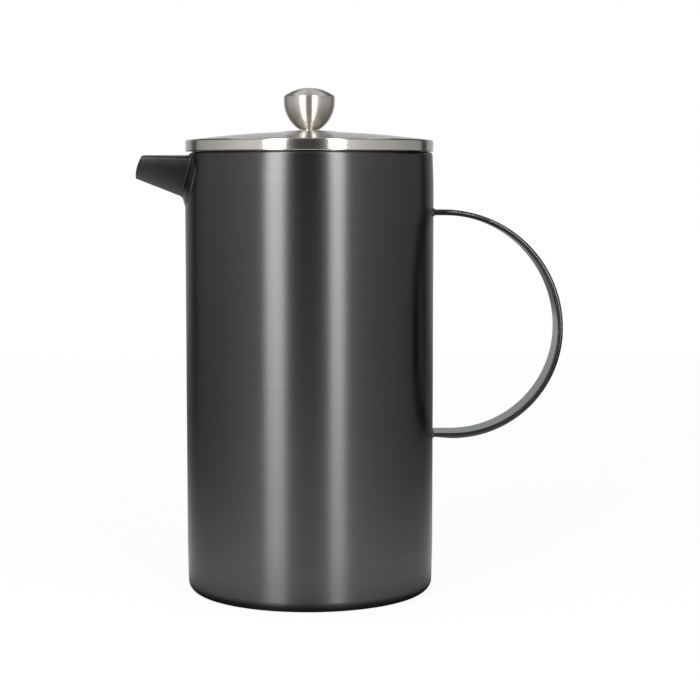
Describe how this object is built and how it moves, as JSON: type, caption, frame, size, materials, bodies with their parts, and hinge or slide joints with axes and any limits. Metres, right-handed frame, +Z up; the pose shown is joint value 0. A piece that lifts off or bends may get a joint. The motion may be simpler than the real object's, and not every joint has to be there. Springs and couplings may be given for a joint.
{
  "type": "french press",
  "caption": "Double-walled steel coffee press with a welded spout, a bent band handle, a lift-off lid and a spring-rimmed filter plunger.",
  "frame": {"origin": "centre of the base, where the vessel's axis meets the table", "axes": "+Z up along the vessel's axis, -X towards the spout, +X towards the handle"},
  "size_m": [0.1854, 0.108, 0.2195],
  "materials": {
    "drum_gunmetal": "fine brushed round the drum, dark gunmetal coating",
    "spout_gunmetal": "satin, dark gunmetal coating",
    "weld_gunmetal": "coated weld bead",
    "handle_gunmetal": "brushed along the band, dark gunmetal coating",
    "liner_steel": "satin drawn steel",
    "base_steel": "satin",
    "lid_steel": "brushed round, bare steel",
    "lid_inner_steel": "satin",
    "knob_steel": "turned and brushed",
    "rod_steel": "polished",
    "fastener_steel": "turned",
    "filter_steel": "pressed, bright",
    "mesh_steel": "woven wire",
    "spring_steel": "bright wire"
  },
  "bodies": {
    "vessel": {"outer_wall": "drum_gunmetal", "inner_wall": "liner_steel", "base_plate": "base_steel", "spout": "spout_gunmetal", "spout_weld": "weld_gunmetal", "handle": "handle_gunmetal", "handle_welds": "handle_gunmetal"},
    "lid": {"lid_cover": "lid_steel", "lid_disc": "lid_inner_steel", "lid_skirt": "lid_inner_steel", "rod_bush": "fastener_steel", "bush_washer": "fastener_steel", "bush_nut": "fastener_steel"},
    "plunger": {"knob": "knob_steel", "rod": "rod_steel", "rod_collar": "fastener_steel", "spring_plate": "filter_steel", "rim_spring": "spring_steel", "mesh_filter": "mesh_steel", "cross_plate": "filter_steel", "hub_nut": "fastener_steel"}
  },
  "joints": [
    {"name": "lid_lift", "type": "slide", "parent": "vessel", "child": "lid", "axis": [0, 0, 1], "range_m": [0, 0.18]},
    {"name": "plunger_slide", "type": "slide", "parent": "lid", "child": "plunger", "axis": [0, 0, 1], "range_m": [0, 0.145]}
  ]
}
